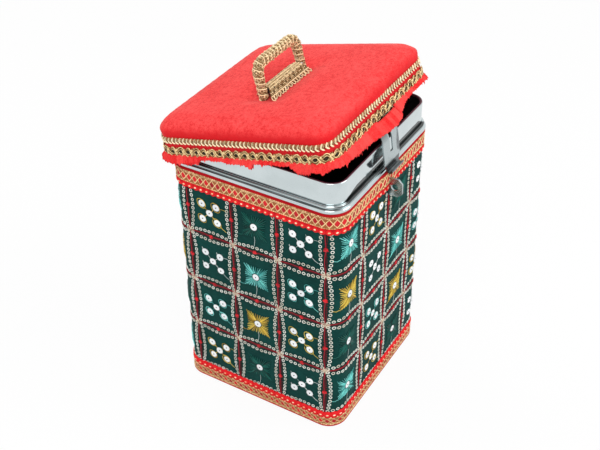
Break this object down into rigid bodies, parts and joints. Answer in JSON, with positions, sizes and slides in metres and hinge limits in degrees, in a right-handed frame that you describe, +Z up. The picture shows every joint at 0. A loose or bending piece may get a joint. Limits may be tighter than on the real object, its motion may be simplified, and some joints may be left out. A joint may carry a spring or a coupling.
{
  "type": "hinged sweets tin",
  "caption": "Tall square sweets tin with a fabric-covered body, polished neck, hinged padded lid with braid and fringe, wrapped carry handle, and a hasp and staple",
  "frame": {"origin": "centre of the base, on the surface the tin stands on", "axes": "+Z up, -Y towards the hasp side, +Y towards the lid hinge, X along the hinge pin"},
  "size_m": [0.1226, 0.1288, 0.2215],
  "materials": {
    "steel": "plain rolled steel sheet and rod",
    "polished": "mirror-polished steel neck",
    "bright": "bright plated steel",
    "green": "dark green silk with thread and sequin embroidery",
    "lace": "red and gold woven lace",
    "foam": "open-cell foam pad",
    "velvet": "bright red velvet",
    "red": "red net and tape",
    "gold": "gold metallic thread"
  },
  "bodies": {
    "tin": {"tin_wall": "steel", "tin_base": "steel", "neck_collar": "polished", "fabric_sleeve": "green", "top_lace": "lace", "bottom_lace": "lace", "hinge_body_leaf": "steel", "hinge_body_rivets": "steel", "hinge_pin": "steel", "staple": "bright", "staple_rivets": "bright"},
    "lid": {"lid_pan": "steel", "lid_foam": "foam", "velvet_cover": "velvet", "gold_braid": "gold", "red_tape": "red", "chain_lace": "gold", "net_fringe": "red", "hinge_lid_leaf": "steel", "hinge_lid_rivets": "steel", "hasp_bracket": "bright", "hasp_bracket_rivets": "bright", "hasp_pin": "bright", "handle_loop": "steel", "handle_wrap": "gold", "handle_saddle": "steel", "handle_ribbon": "gold", "handle_screws": "steel", "handle_nuts": "steel"},
    "hasp": {"hasp_strap": "bright"},
    "fringe_flap": {"fringe_flap": "red"}
  },
  "joints": [
    {"name": "lid_hinge", "type": "hinge", "parent": "tin", "child": "lid", "pos_m": [0, 0.0605, 0.156], "axis": [-1, 0, 0], "range_deg": [-14.6, 95]},
    {"name": "hasp_hinge", "type": "hinge", "parent": "lid", "child": "hasp", "pos_m": [0, -0.05233, 0.19335], "axis": [-1, 0, 0], "range_deg": [0, 90]},
    {"name": "flap_lift", "type": "hinge", "parent": "lid", "child": "fringe_flap", "pos_m": [0, -0.05311, 0.1951], "axis": [-1, 0, 0], "range_deg": [0, 60]}
  ],
  "couplings": [
    {"joint": "flap_lift", "follows": "hasp_hinge", "ratio": 0.62}
  ]
}
